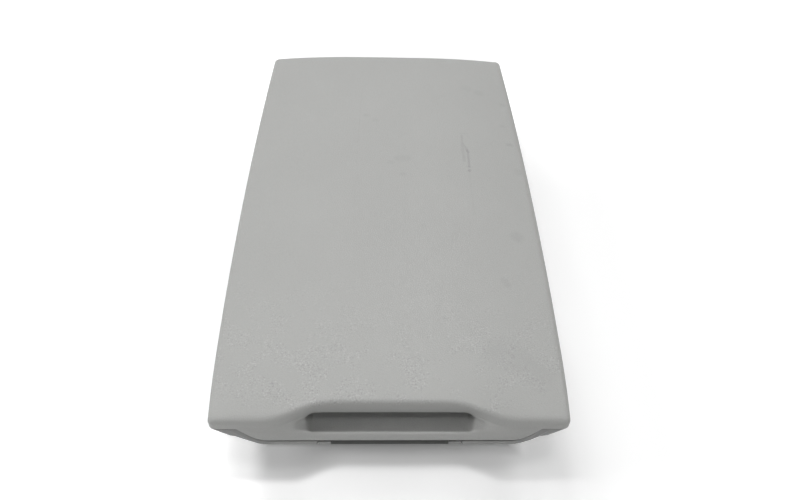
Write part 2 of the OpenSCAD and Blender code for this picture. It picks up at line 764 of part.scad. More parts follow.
// Steel frame: side plates with a flange under the tub, a rear plate and two cross tubes
cross_y = bin_y0 - tub_wall - cross_r - 1.5;
saddle_r = cross_r + 3;
cross_z = striker_z - wire_r - saddle_r - 4;
frame_top = flange_z - flange_t;
rear_plate_y = hinge_y - knuckle_r - plate_t;
rear_low = pivot_z - 8;
plate_end_r = 8;
plate_hole_r = 13;
plate_hole_z = (rear_low + frame_top)/2 - 6;
module side_plate_outline() {
    difference() {
        union() {
            hull() {
                translate([pivot_y, pivot_z])
                    circle(r = bush_r + 11.5);
                translate([cross_y, cross_z])
                    circle(r = cross_r + 2.5);
                for (y = [cross_y + 26, pivot_y - 10])
                    translate([y, frame_top - plate_end_r])
                        circle(r = plate_end_r);
            }
            translate([pivot_y - 10, rear_low])
                square([rear_plate_y - pivot_y + 10, frame_top - rear_low]);
        }
        translate([pivot_y, pivot_z])
            circle(r = bush_r + run_gap);
        for (t = [0:3])
            translate([mix(cross_y + 42, pivot_y - 48, t/3), plate_hole_z])
                circle(r = plate_hole_r);
    }
}

module side_plate(side) {
    color("silver")
        difference() {
            union() {
                translate([side > 0 ? plate_x : -plate_x - plate_t, 0, 0])
                    rotate([90, 0, 90])
                        linear_extrude(plate_t) side_plate_outline();
                translate([side > 0 ? plate_x : -plate_x - plate_flange, cross_y + 28,
                        frame_top - plate_t])
                    cube([plate_flange, pivot_y - cross_y - 40, plate_t]);
            }
            for (p = tub_screw_at())
                translate([p[0], p[1], frame_top - 8])
                    cylinder(r = screw_r, h = 10);
        }
}

module side_plate_left() {
    side_plate(-1);
}

module side_plate_right() {
    side_plate(1);
}

rear_flange = 9;
rear_hole_r = 6;
module rear_plate() {
    color("silver")
        difference() {
            union() {
                translate([-plate_x, rear_plate_y, rear_low])
                    cube([2*plate_x, plate_t, frame_top - rear_low]);
                translate([-plate_x, rear_plate_y - rear_flange, rear_low])
                    cube([2*plate_x, rear_flange + eps, plate_t]);
            }
            for (x = leaf_screw_xs())
                translate([x, rear_plate_y - 1, leaf_hole_z])
                    rotate([-90, 0, 0])
                        cylinder(r = screw_r, h = plate_t + 2);
            for (x = [-1:1])
                translate([x*0.6*plate_x, rear_plate_y - 1, rear_low + 15])
                    rotate([-90, 0, 0])
                        cylinder(r = rear_hole_r, h = plate_t + 2);
        }
}

module tube_along(r, wall, half) {
    rotate([0, 90, 0])
        translate([0, 0, -half])
            difference() {
                cylinder(r = r, h = 2*half);
                translate([0, 0, -1])
                    cylinder(r = r - wall, h = 2*half + 2);
            }
}

module pivot_tube() {
    color("silver")
        translate([0, pivot_y, pivot_z])
            tube_along(tube_r, tube_r - bush_r - run_gap, plate_x);
}

module cross_tube() {
    color("silver")
        translate([0, cross_y, cross_z])
            tube_along(cross_r, 1.5, plate_x);
}

bush_in = plate_x - 12;
bush_out = half_w(pivot_y) - shell_inset - (rim_z - pivot_z)*tan(side_draft) - 1.5;
module pivot_bush(side) {
    color([0.85, 0.84, 0.78])
        translate([0, pivot_y, pivot_z])
            rotate([0, 90*side, 0])
                difference() {
                    union() {
                        translate([0, 0, bush_in])
                            cylinder(r = bush_r, h = bush_out - bush_in);
                        translate([0, 0, plate_x + plate_t])
                            cylinder(r = bush_r + 3.5, h = 2);
                    }
                    translate([0, 0, bush_in - 1])
                        cylinder(r = bush_bore, h = bush_out - bush_in + 2);
                }
}

module pivot_bush_left() {
    pivot_bush(-1);
}

module pivot_bush_right() {
    pivot_bush(1);
}

leaf_hole_z = hinge_z - 14;
module hinge_leaf_base() {
    color("silver")
        difference() {
            union() {
                knuckle_row(0);
                difference() {
                    translate([-hinge_len/2, hinge_y - knuckle_r, hinge_z - leaf_reach])
                        cube([hinge_len, leaf_t, leaf_reach]);
                    knuckle_room(1);
                }
            }
            rod_bore(0);
            for (x = leaf_screw_xs())
                translate([x, hinge_y - knuckle_r + leaf_t, leaf_hole_z])
                    rotate([90, 0, 0])
                        screw_hole(leaf_t + 1);
        }
}

module hinge_rod() {
    color("silver")
        translate([-hinge_len/2, hinge_y, hinge_z])
            rotate([0, 90, 0])
                cylinder(r = rod_r, h = hinge_len);
}

module hinge_screws() {
    color("silver")
        for (x = leaf_screw_xs())
            translate([x, hinge_y - knuckle_r + leaf_t, leaf_hole_z])
                rotate([90, 0, 0])
                    screw(leaf_t + plate_t - 0.2);
}

// Release paddle: a panel that carries on the front wall, with a finger slot at its top edge,
// two ears on the latch pin and a hook for the striker
paddle_top = chin_z - seam_gap - 0.2;
paddle_low = paddle_top - paddle_h;
pin_z = paddle_low + 3;
slot_half = paddle_w/2 - slot_in;
ear_x = slot_half + 2;
ear_t = 3;
function face_y(z) = lid_front + front_f + knee_in + max(knee_z - z, 0)*tan(bow_a);
module paddle_section(t) {
    slant = t/cos(bow_a);
    polygon([[face_y(knee_z), paddle_top], [face_y(knee_z), knee_z],
        [face_y(paddle_low), paddle_low], [face_y(paddle_low) + slant, paddle_low],
        [face_y(knee_z) + t, knee_z - t*tan(bow_a/2)], [face_y(knee_z) + t, paddle_top]]);
}

module across(half) {
    translate([-half, 0, 0])
        rotate([90, 0, 90])
            linear_extrude(2*half) children();
}

// The slot has an open front above its front wall, and a deeper well behind that wall
slot_floor = paddle_top - 12.5;
slot_back = lid_front + front_f + slot_d;
pin_y = slot_back + 11.2;
slot_end_r = 5;
face_t = 3;
module slot_plan(wall) {
    hull()
        for (x = [-1, 1], y = [slot_back + wall - slot_end_r, lid_front + front_f - slot_end_r])
            translate([x*(slot_half + wall - slot_end_r), y])
                circle(r = slot_end_r, $fn = 32);
}

module slot_block(wall) {
    translate([0, 0, slot_floor - wall])
        linear_extrude(paddle_top - slot_floor + wall + (wall > 0 ? 0 : 1)) slot_plan(wall);
}

// The space behind the front panel, at a depth behind its face
module behind_face(t) {
    across(paddle_w/2)
        polygon([[face_y(knee_z) + t, paddle_top + 2], [face_y(knee_z) + t, knee_z - t*tan(bow_a/2)],
            [face_y(paddle_low) + t/cos(bow_a), paddle_low], [pin_y, paddle_low], [pin_y, paddle_top + 2]]);
}

module release_paddle() {
    wall = 2;
    color([0.48, 0.48, 0.47])
        difference() {
            union() {
                across(paddle_w/2) paddle_section(face_t);
                intersection() {
                    slot_block(wall);
                    translate([0, 0, -2])
                        behind_face(face_t - 1);
                }
                for (x = [-1, 1])
                    translate([x*(ear_x + ear_t/2), 0, 0])
                        across(ear_t/2)
                            hull() {
                                translate([pin_y, pin_z])
                                    circle(r = pin_r + 2.2);
                                translate([face_y(paddle_low + 4) + 4, paddle_low + 3])
                                    circle(r = 2, $fn = 32);
                                translate([face_y(knee_z - 4) + 5, knee_z - 4])
                                    circle(r = 2, $fn = 32);
                            }
                across(hook_half) hook_outline();
            }
            intersection() {
                slot_block(0);
                behind_face(face_t);
            }
            translate([0, 0, knee_z])
                linear_extrude(10) slot_plan(0);
            translate([-paddle_w, pin_y, pin_z])
                rotate([0, 90, 0])
                    cylinder(r = pin_r + run_gap, h = 2*paddle_w);
        }
}

// Hook: an arm from the back of the slot with a nose just ahead of the crossbar of the striker
hook_gap = 0.9;
hook_half = 5;
hook_tip = striker_y - wire_r - hook_gap;
hook_z = striker_z + wire_r + 0.6;
module hook_outline() {
    polygon([[slot_back + 1, slot_floor - 1.5], [pin_y - 2, pin_z - 3], [pin_y + 4, pin_z - 3],
        [hook_tip - 5, hook_z - 5], [hook_tip - 3, hook_z], [hook_tip, hook_z],
        [hook_tip, hook_z + 1.5], [hook_tip - 6, hook_z + 5], [slot_back + 6, hook_z + 3],
        [slot_back + 1, slot_floor + 5]]);
}

// Latch housing: two cheeks on a saddle round the cross tube
cheek_t = 3;
cheek_x = ear_x + ear_t + 0.5;
module latch_housing() {
    color([0.14, 0.14, 0.15])
        difference() {
            union() {
                for (x = [-1, 1])
                    translate([x*(cheek_x + cheek_t/2), 0, 0])
                        across(cheek_t/2)
                            hull() {
                                translate([pin_y, pin_z])
                                    circle(r = pin_r + 2.2);
                                translate([cross_y, cross_z])
                                    circle(r = saddle_r + 0.8);
                            }
                translate([0, cross_y, cross_z])
                    rotate([0, 90, 0])
                        cylinder(r = saddle_r, h = 2*cheek_x + cheek_t, center = true);
            }
            translate([0, cross_y, cross_z])
                rotate([0, 90, 0])
                    cylinder(r = cross_r + run_gap, h = 4*cheek_x, center = true);
            translate([0, cross_y + saddle_r, cross_z])
                cube([4*cheek_x, 2*saddle_r - cross_r, 4*saddle_r], center = true);
            translate([0, pin_y, pin_z])
                rotate([0, 90, 0])
                    cylinder(r = pin_r, h = 4*cheek_x, center = true);
        }
}

module latch_pin() {
    half = cheek_x + cheek_t;
    color("silver")
        translate([0, pin_y, pin_z])
            rotate([0, 90, 0])
                cylinder(r = pin_r, h = 2*half, center = true);
}

// Torsion spring on the pin: a wire wound in a helix, with its ends along the coil
spring_r = pin_r + 1.6;
spring_wire = 0.6;
spring_turns = 5;
spring_sides = 6;
spring_step = 22.5;
spring_x = 24;
function spring_ring(i) =
    let (a = i*spring_step, x = spring_x + i*spring_step/360*spring_wire*2.3)
    [for (j = [0:spring_sides - 1]) let (b = 360*j/spring_sides, r = spring_r + spring_wire*cos(b))
        [x + spring_wire*sin(b), r*cos(a), r*sin(a)]];
module latch_spring() {
    n = spring_turns*360/spring_step;
    m = spring_sides;
    sides = [for (k = [0:n - 1], i = [0:m - 1]) let (j = (i + 1)%m, a = k*m, b = a + m)
        each [[a + i, b + j, a + j], [a + i, b + i, b + j]]];
    caps = [[for (i = [0:m - 1]) i], [for (i = [m - 1:-1:0]) n*m + i]];
    color("silver")
        translate([0, pin_y, pin_z])
            polyhedron([for (k = [0:n]) each spring_ring(k)], concat(sides, caps));
}

lid_pad();
lid_carrier();
lid_liner();
liner_screws();
hinge_leaf_lid();
leaf_screws();
striker();
striker_screws();
base_shell();
base_screws();
storage_tub();
tub_mat();
tub_screws();
lid_bumpers();
side_plate_left();
side_plate_right();
rear_plate();
pivot_tube();
cross_tube();
pivot_bush_left();
pivot_bush_right();
hinge_leaf_base();
hinge_rod();
hinge_screws();
latch_housing();
latch_pin();
latch_spring();
release_paddle();
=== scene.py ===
import json
import math
import bmesh
import bpy
from mathutils import Matrix, Vector


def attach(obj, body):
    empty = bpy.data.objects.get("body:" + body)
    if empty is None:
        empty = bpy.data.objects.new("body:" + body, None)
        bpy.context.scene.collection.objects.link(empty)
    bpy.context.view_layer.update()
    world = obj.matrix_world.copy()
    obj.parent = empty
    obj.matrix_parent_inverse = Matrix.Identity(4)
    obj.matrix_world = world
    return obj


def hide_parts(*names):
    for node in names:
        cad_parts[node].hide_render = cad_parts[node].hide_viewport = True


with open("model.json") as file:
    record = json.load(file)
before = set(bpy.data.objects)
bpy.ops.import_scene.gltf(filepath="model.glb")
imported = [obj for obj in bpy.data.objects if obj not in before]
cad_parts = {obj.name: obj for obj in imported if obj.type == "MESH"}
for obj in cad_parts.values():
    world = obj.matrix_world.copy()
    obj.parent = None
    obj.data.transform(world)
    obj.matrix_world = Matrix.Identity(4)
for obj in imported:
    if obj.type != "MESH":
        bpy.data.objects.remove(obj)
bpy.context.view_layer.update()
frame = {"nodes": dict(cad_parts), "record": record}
nodes = frame["nodes"]
MM = 0.001

# Sizes of the lid pad in millimetres, the same as in the part's own source.
# Ends, width at the front, where the lid is widest, and radius of the front corners
LID_FRONT = -194.5
LID_REAR = 197.5
FRONT_W = 228.5
WIDE_Y = LID_FRONT + 140
CORNER_R = 3.5
# Heights of the edge of the top, the seam, the seam at the lower lip and the roof of the pocket
EDGE_Z = 86.0
SEAM_Z = 72.0
CHIN_Z = 61.5
ROOF_Z = 77.0
# Crown of the top, its share of fall at the front, its reach from each end, and its level strip
CROWN = 6.0
FRONT_FALL = 0.75
TOP_REACH = 60.0
FLAT_HALF = 28.0
# Rounded edge of the top, at the sides and at the scoop, by its steps in degrees, and the gap
# between it and the first row below it
EDGE_R = 4.0
LIP_R = 3.0
ROUND_AS = (0, 25, 45, 65, 90)
UNDER_EDGE = 1.0
# Walls round the pocket, the block ahead of it, and the chamfer along the seam
WALL = 9.0
BLOCK = 38.0
LOW = 0.8
# Scoop: its depth, and its distance from the middle where it is full and where it ends
SCOOP_D = 10.0
SCOOP_FULL = 38.0
SCOOP_END = 80.0
# Lip over the finger recess and rim under it, below the edge of the top, and the knee between them
LIP_H = 10.0
RIM_F = 0.4
RIM_DROP = 16.3
KNEE_DROP = 13.0
# Finger recess: its depth, the fall of its roof behind the lip, the rounding at its back, and the
# round under the lip as inset and drop
PULL_D = 32.5
PULL_TOP = 2.6
PULL_SOFT = 3.0
LIP_ROUND = ((0.8, 1.4), (3, 2.2))
# Lower lip: how far it stands out, and its distance from the middle where it is full and ends
CHIN_OUT = 3.0
CHIN_FULL = 80.0
CHIN_END = 97.0
CHIN_POWER = 1.6

# Sizes in which the dressed skin departs from the solid, by up to 5 mm, for its look in the photo.
# Widths, and radius of the rear corners
MID_W = 233.4
REAR_W = 220.6
REAR_CORNER_R = 4.5
# Share by which the crown falls towards the rear, and over what reach
REAR_FALL = 0.33
REAR_REACH = 80.0
# Fall of the edge of the top towards the front corners, and over what reach
DROOP = 4.0
DROOP_REACH = 42.0
# Where the lip is full and ends, from the middle, and the flare of the front beside the recess
LIP_FULL = 46.0
LIP_END = 76.0
SIDE_FLARE = 1.2
FLARE_REACH = 20.0
# Finger recess: half width, length and rounding of its ends, depth of the bevel round it as a share
# of its own, how much of an end its wall takes, and its floor
PULL_HALF = 61.0
PULL_END = 10.5
PULL_ROUND = 2.5
PULL_BEVEL = 0.24
PULL_WALL = 0.35
PULL_FLOOR_Z = CHIN_Z + 2.6
# Front end of the floor as inset and rise, and inside of the rim as inset and drop
FLOOR_FRONT = (6, 1.2)
RIM_INSIDE = (1.2, 1.8)

# Rings of the loft: shares of the top that they lie at, how many go down the side, which is as many
# as go from the lip round the recess to the rim, and the least corner radius of an inner ring
SPREAD = (1, 0.98, 0.9, 0.77, 0.62, 0.48, 0.35, 0.25, 0.16, 0.1, 0.05)
CROWN_ROWS = len(SPREAD) + len(ROUND_AS)
SIDE_ROWS = 10
LEAST_R = 3
# Steps along a ring: middle of the recess, its end, the lip beside it, the end of the lower lip by
# shares, the front beyond it, the front corner, the side, the rear corner and the rear
MIDDLE_STEPS = 5
END_STEPS = 14
BESIDE_STEPS = 5
CHIN_SHARES = (0.2, 0.4, 0.58, 0.74, 0.87, 0.95, 0.99, 1.01, 1.05)
BEYOND_CHIN_STEPS = 4
CORNER_STEPS = 8
SIDE_STEPS = 26
REAR_CORNER_STEPS = 6
REAR_STEPS = 8
SMOOTH_LEVELS = 2


def mix(a, b, t):
    """The number at the share t from a to b."""
    return a + (b - a) * t


def mix2(a, b, t):
    """The point at the share t from a to b."""
    return (mix(a[0], b[0], t), mix(a[1], b[1], t))


def smooth(t):
    """A smooth step from 0 at t = 0 to 1 at t = 1."""
    t = min(max(t, 0.0), 1.0)
    return t * t * (3 - 2 * t)


def fade(v, full, none):
    """1 up to full and 0 from none on, with a smooth step between them."""
    return 1 - smooth((v - full) / (none - full))


def half_w(y):
    """Half width of the lid at a place along its length."""
    if y < WIDE_Y:
        return MID_W / 2 - (MID_W - FRONT_W) / 2 * ((WIDE_Y - y) / (WIDE_Y - LID_FRONT)) ** 2
    return MID_W / 2 - (MID_W - REAR_W) / 2 * ((y - WIDE_Y) / (LID_REAR - WIDE_Y)) ** 2


CORNER_X = half_w(LID_FRONT + CORNER_R) - CORNER_R


def pull_at(x, v):
    """Weight of the finger recess across the front, with a soft bevel round its two ends. v runs
    from -1 at its lip to 1 at its rim."""
    half = PULL_HALF - PULL_ROUND * (1 - math.sqrt(1 - v * v))
    t = min(max((abs(x) - half + PULL_END) / PULL_END, 0.0), 1.0)
    bevel = PULL_BEVEL * (1 - t)
    return mix(bevel, 1.0, 1 - smooth(t / PULL_WALL))


def chin_at(x):
    """Weight of the lower lip across the front."""
    t = (abs(x) - CHIN_FULL) / (CHIN_END - CHIN_FULL)
    return 1 - min(max(t, 0.0), 1.0) ** CHIN_POWER


def crown_at(x, y):
    """Height of the crown over the edge of the top."""
    t = max((abs(x) - FLAT_HALF) / (half_w(y) - FLAT_HALF), 0)
    d = max((LID_FRONT + TOP_REACH - y) / TOP_REACH, 0)
    e = max((y - LID_REAR + REAR_REACH) / REAR_REACH, 0)
    return CROWN * (1 - t * t) * (1 - FRONT_FALL * d * d) * (1 - REAR_FALL * e * e)


def droop_at(x, y):
    """Fall of the edge of the top towards the two front corners, clear of the scoop."""
    d = min(max((LID_FRONT + DROOP_REACH - y) / DROOP_REACH, 0.0), 1.0)
    return DROOP * d * d * (1 - fade(abs(x), SCOOP_FULL, SCOOP_END))


def arc(r, i):
    """Inset and drop of a rounded top edge of radius r at its step i."""
    a = math.radians(ROUND_AS[i])
    return r * (1 - math.sin(a)), -r * (1 - math.cos(a))


def side_rows():
    """The profile of the side: over the edge, down to the seam and up into the pocket."""
    rows = [(mix(EDGE_R, MID_W / 2 - FLAT_HALF, t), 0) for t in SPREAD]
    rows += [arc(EDGE_R, i) for i in range(len(ROUND_AS))]
    top, foot = EDGE_Z - EDGE_R - UNDER_EDGE, SEAM_Z + 2 * LOW
    rows += [(0, mix(top, foot, j / (SIDE_ROWS - 1))) for j in range(SIDE_ROWS)]
    return rows + [(0, SEAM_Z + LOW), (LOW, SEAM_Z), (WALL, SEAM_Z), (WALL, ROOF_Z)]


def recess_rows(back, lip_z, rim_z):
    """The finger recess in section: under the lip, round the back and along the floor to the rim."""
    roof = lip_z - PULL_TOP
    rows = [(back + inset, lip_z - drop) for inset, drop in LIP_ROUND]
    rows += [(PULL_D - PULL_SOFT, roof), (PULL_D, roof - PULL_SOFT),
             (PULL_D, PULL_FLOOR_Z + PULL_SOFT), (PULL_D - PULL_SOFT, PULL_FLOOR_Z)]
    return rows + [(FLOOR_FRONT[0], PULL_FLOOR_Z + FLOOR_FRONT[1]),
                   (RIM_INSIDE[0], rim_z - RIM_INSIDE[1])]


def front_rows(x):
    """The profile of the front at a distance x from the middle: over the edge, down the scoop,
    through the finger recess, out to the lower lip and under it."""
    w, c = fade(abs(x), SCOOP_FULL, SCOOP_END), chin_at(x)
    sc = SCOOP_D * w
    back = SCOOP_D * fade(abs(x), LIP_FULL, LIP_END)
    r = mix(EDGE_R, LIP_R, w)
    seam = mix(SEAM_Z, CHIN_Z, c)
    lip = (back, EDGE_Z - mix(EDGE_R + UNDER_EDGE, LIP_H, max(w, c)))
    flare = RIM_F + SIDE_FLARE * smooth((abs(x) - PULL_HALF) / FLARE_REACH)
    rim = (-flare * c, mix(SEAM_Z + 2 * LOW, EDGE_Z - RIM_DROP, c))
    knee = (back / 2, mix((lip[1] + rim[1]) / 2, EDGE_Z - KNEE_DROP, c))
    rows = [(mix(EDGE_R, TOP_REACH, t) + sc, 0) for t in SPREAD]
    for i in range(len(ROUND_AS)):
        inset, drop = arc(r, i)
        rows.append((sc + inset, drop))
    rows.append(lip)
    recess = recess_rows(back, lip[1], rim[1])
    for j, inner in enumerate(recess):
        t = (j + 1) / (len(recess) + 1)
        outer = mix2(mix2(lip, knee, t), mix2(knee, rim, t), t)
        rows.append(mix2(outer, inner, pull_at(x, 2 * t - 1)))
    rows.append(rim)
    rows += [(-CHIN_OUT * c, seam + LOW * (1 + c / 2)), (LOW - CHIN_OUT * c, seam)]
    return rows + [(BLOCK, seam), (BLOCK, ROOF_Z)]


def stations():
    """Places round half of a ring: front at x, front corner at an angle, side, rear corner, rear."""
    flat = PULL_HALF - PULL_END - PULL_ROUND
    xs = [flat * i / MIDDLE_STEPS for i in range(MIDDLE_STEPS)]
    xs += [mix(flat, PULL_HALF, i / END_STEPS) for i in range(END_STEPS + 1)]
    xs += [mix(PULL_HALF, CHIN_FULL, i / BESIDE_STEPS) for i in range(1, BESIDE_STEPS + 1)]
    xs += [mix(CHIN_FULL, CHIN_END, t) for t in CHIN_SHARES]
    steps_on = range(1, BEYOND_CHIN_STEPS + 1)
    xs += [mix(CHIN_END, CORNER_X, i / BEYOND_CHIN_STEPS) for i in steps_on]
    found = [("front", x) for x in xs]
    found += [("corner", 90 * i / CORNER_STEPS) for i in range(1, CORNER_STEPS + 1)]
    found += [("side", i / SIDE_STEPS) for i in range(1, SIDE_STEPS + 1)]
    found += [("rear_corner", 90 * i / REAR_CORNER_STEPS) for i in range(1, REAR_CORNER_STEPS + 1)]
    return found + [("rear", 1 - i / REAR_STEPS) for i in range(1, REAR_STEPS + 1)]


def pad_point(kind, value, k, sides, front):
    """The point of row k at a station."""
    f, s = front[k][0], sides[k][0]
    b = min(s, TOP_REACH)
    r, q = max(CORNER_R - s, LEAST_R), max(REAR_CORNER_R - s, LEAST_R)
    y0, y1 = LID_FRONT + f + r, LID_REAR - b - q
    x0, x1 = half_w(y0) - s - r, half_w(y1) - s - q
    turn = math.radians(value)
    if kind == "front":
        x, y, t = value * x0 / CORNER_X, LID_FRONT + f, 0
    elif kind == "corner":
        x, y, t = x0 + r * math.sin(turn), y0 - r * math.cos(turn), value / 90
    elif kind == "side":
        y = mix(y0, y1, value)
        x, t = half_w(y) - s, 1
    elif kind == "rear_corner":
        x, y, t = x1 + q * math.cos(turn), y1 + q * math.sin(turn), 1
    else:
        x, y, t = x1 * value, LID_REAR - b, 1
    z = mix(front[k][1], sides[k][1], t)
    if k < CROWN_ROWS:
        return (x, y, EDGE_Z + crown_at(x, y) + z - droop_at(x, y))
    top = EDGE_Z - EDGE_R
    share = min(max((z - SEAM_Z - 2 * LOW) / (top - SEAM_Z - 2 * LOW), 0.0), 1.0)
    return (x, y, z - droop_at(x, y) * share)


# Nodes of a material. Detail of the noise by which a colour drifts
DRIFT_DETAIL = 3


def new_material(name):
    """A new material, its node tree, its shader and its object coordinates."""
    m = bpy.data.materials.new(name)
    m.use_nodes = True
    nt = m.node_tree
    place = nt.nodes.new("ShaderNodeTexCoord").outputs["Object"]
    return m, nt, nt.nodes["Principled BSDF"], place


def math_node(nt, operation, a, b=None, c=None, clamp=False):
    """The result of a math operation on numbers or on outputs of other nodes."""
    n = nt.nodes.new("ShaderNodeMath")
    n.operation = operation
    n.use_clamp = clamp
    for i, v in enumerate((a, b, c)):
        if v is None:
            continue
        if isinstance(v, (int, float)):
            n.inputs[i].default_value = v
        else:
            nt.links.new(v, n.inputs[i])
    return n.outputs[0]


def length_of(nt, a, b):
    """The length of a step of a and b at right angles."""
    return math_node(nt, "SQRT", math_node(nt, "ADD", math_node(nt, "MULTIPLY", a, a),
                                           math_node(nt, "MULTIPLY", b, b)))


def ramp(nt, value, start, end, kind="SMOOTHSTEP"):
    """0 before start and 1 after end, with a smooth step between them unless kind is LINEAR."""
    n = nt.nodes.new("ShaderNodeMapRange")
    n.interpolation_type = kind
    n.inputs["From Min"].default_value = start
    n.inputs["From Max"].default_value = end
    nt.links.new(value, n.inputs["Value"])
    return n.outputs["Result"]


def noise(nt, place, scale, detail=2):
    """A noise over the surface, with its scale per metre."""
    n = nt.nodes.new("ShaderNodeTexNoise")
    n.inputs["Scale"].default_value = scale
    n.inputs["Detail"].default_value = detail
    nt.links.new(place, n.inputs["Vector"])
    return n.outputs


def separate(nt, place):
    """The X, Y and Z of a place."""
    n = nt.nodes.new("ShaderNodeSeparateXYZ")
    nt.links.new(place, n.inputs[0])
    return n.outputs


def mix_colour(nt, factor, a, b):
    """A blend from a to b by a factor. Each is a colour or the output of another node."""
    n = nt.nodes.new("ShaderNodeMix")
    n.data_type = "RGBA"
    for end, colour in (("A", a), ("B", b)):
        if isinstance(colour, tuple):
            n.inputs[end].default_value = (*colour, 1)
        else:
            nt.links.new(colour, n.inputs[end])
    nt.links.new(factor, n.inputs["Factor"])
    return n.outputs["Result"]


def drift(nt, place, colour, amount, scale):
    """A colour that drifts by a share of itself over the surface."""
    dark = tuple(c * (1 - amount) for c in colour)
    light = tuple(min(c * (1 + amount), 1) for c in colour)
    return mix_colour(nt, noise(nt, place, scale, DRIFT_DETAIL)["Fac"], dark, light)


def add_bump(nt, shader, height, strength, depth):
    """A relief on the shader, with its depth in metres."""
    rise = nt.nodes.new("ShaderNodeBump")
    rise.inputs["Strength"].default_value = strength
    rise.inputs["Distance"].default_value = depth
    nt.links.new(height, rise.inputs["Height"])
    nt.links.new(rise.outputs["Normal"], shader.inputs["Normal"])


# Plain surfaces: detail of the bump, share by which the colour drifts, and how much coarser the
# drift is than the bump
PLAIN_DETAIL = 4
PLAIN_DRIFT = 0.06
DRIFT_RATIO = 40


def plain_material(name, colour, roughness, bump, metallic, coat):
    """A moulded, rubber or metal surface with a fine bump."""
    scale, strength, depth = bump
    m, nt, shader, place = new_material(name)
    shader.inputs["Base Color"].default_value = (*colour, 1)
    shader.inputs["Roughness"].default_value = roughness
    shader.inputs["Metallic"].default_value = metallic
    shader.inputs["Coat Weight"].default_value = coat
    add_bump(nt, shader, noise(nt, place, scale, PLAIN_DETAIL)["Fac"], strength, depth)
    tone = drift(nt, place, colour, PLAIN_DRIFT, scale / DRIFT_RATIO)
    nt.links.new(tone, shader.inputs["Base Color"])
    return m


# Skin of the pad: its colour, and the share and scale per metre by which that drifts
SKIN = (0.379, 0.381, 0.371)
SKIN_DRIFT = 0.035
SKIN_DRIFT_SCALE = 14
SKIN_ROUGHNESS = 0.52
SKIN_SPECULAR = 0.4
# Relief: pebbles and the noise that bends them, scales per metre and metres, the share of a pebble
# that its crease takes, and a finer noise on top
PEBBLE_SCALE = 760
WARP_SCALE = 420
WARP = 0.0012
CREASE = 0.22
FINE_SCALE = 1500
FINE_DETAIL = 3
FINE_SHARE = 0.5
SKIN_BUMP = 0.55
SKIN_BUMP_DEPTH = 0.00013
# How dark the painted shade in the creases of the grain is, the colour that dark places go to, and
# how far below the edge of the top the marks and specks fade out, in millimetres
CREASE_SHADE = 0.05
DARK = (0.02, 0.02, 0.022)
TOP_FADE = 2
# Painted shade in the finger recess, and the soft borders of that place in
# millimetres: at its ends, at the front and under the lip
PULL_SHADE = 0.12
SHADE_END = 3
SHADE_FRONT = 2
SHADE_LIP = 1
# Light and dark specks of the grain, painted glints and painted shade on it: scales per metre of the
# specks and of their patches, what levels of those noises count, the share of them at the rear and
# what the front adds to it, the stretch in millimetres over which that grows, how strong they are,
# and the colour of the glints
SPECK_SCALE = 900
SPECK_DETAIL = 1
PATCH_SCALE = 70
PATCH_LEVELS = (0.38, 0.62)
GLINT_LEVELS = (0.56, 0.7)
SHADE_LEVELS = (0.44, 0.3)
SPECK_REAR = 0.15
SPECK_GAIN = 0.85
SPECK_STRETCH = (-60, -180)
SPECK_SHARE = 0.2
SPECK_GLINT = (0.8, 0.8, 0.8)
# Unevenness of the marks of use: scale per metre, detail, and gain and offset of the noise
MARK_SCALE = 260
MARK_DETAIL = 3
MARK_GAIN = 1.2
MARK_OFFSET = 0.4
# The marks themselves: start, end, half width, soft edge in millimetres, and how dark
MARKS = (
    ((62.5, 78.3), (68, 78.5), 0.3, 1.6, 0.05),
    ((63.3, 75), (63.0, 65.3), 0.3, 1.2, 0.11),
    ((63.0, 65.3), (67.1, 55), 0.5, 1.3, 0.13),
    ((66.4, 56.5), (67.2, 53.5), 0.7, 1.0, 0.22),
    ((67.1, 55), (66.8, 36), 0.4, 1.0, 0.16),
    ((66.8, 35.6), (66.8, 35), 0.7, 0.8, 0.2),
    ((66.7, 30.6), (66.6, 30), 0.9, 1.0, 0.2),
    ((62.8, 62.6), (63.4, 41.6), 0.5, 1.4, 0.09),
    ((66.6, 29), (66.4, -22), 0.2, 1.4, 0.03),
    ((-20, 101), (-19, 101), 1.0, 3.0, 0.05),
    ((-12, 94), (-11, 94), 0.8, 2.6, 0.05),
    ((8, 43.7), (15, 43.8), 1.5, 4.0, 0.05),
    ((1.5, 38.6), (2.1, 38.6), 1.0, 3.0, 0.05),
    ((11.2, 24), (11.8, 24), 1.0, 2.6, 0.05),
    ((25.7, -34), (26.5, -35), 0.8, 3.0, 0.05),
    ((71.6, 146), (74, 144), 2.0, 4.0, 0.04),
    ((83, 140), (85, 139), 1.5, 4.0, 0.05),
    ((104, 124.5), (105, 124), 1.0, 3.5, 0.06),
    ((100.5, 93), (101, 93), 0.8, 2.6, 0.06),
    ((103.5, 67.7), (105.5, 67.7), 0.8, 2.6, 0.1),
    ((108, 34), (108.4, 32), 1.5, 3.5, 0.06),
    ((96.5, -41), (98.5, -43), 2.2, 4.5, 0.07),
    ((82.5, -86), (84, -90), 1.2, 3.0, 0.07),
    ((72, -147), (97, -163), 4.0, 12.0, 0.04),
)


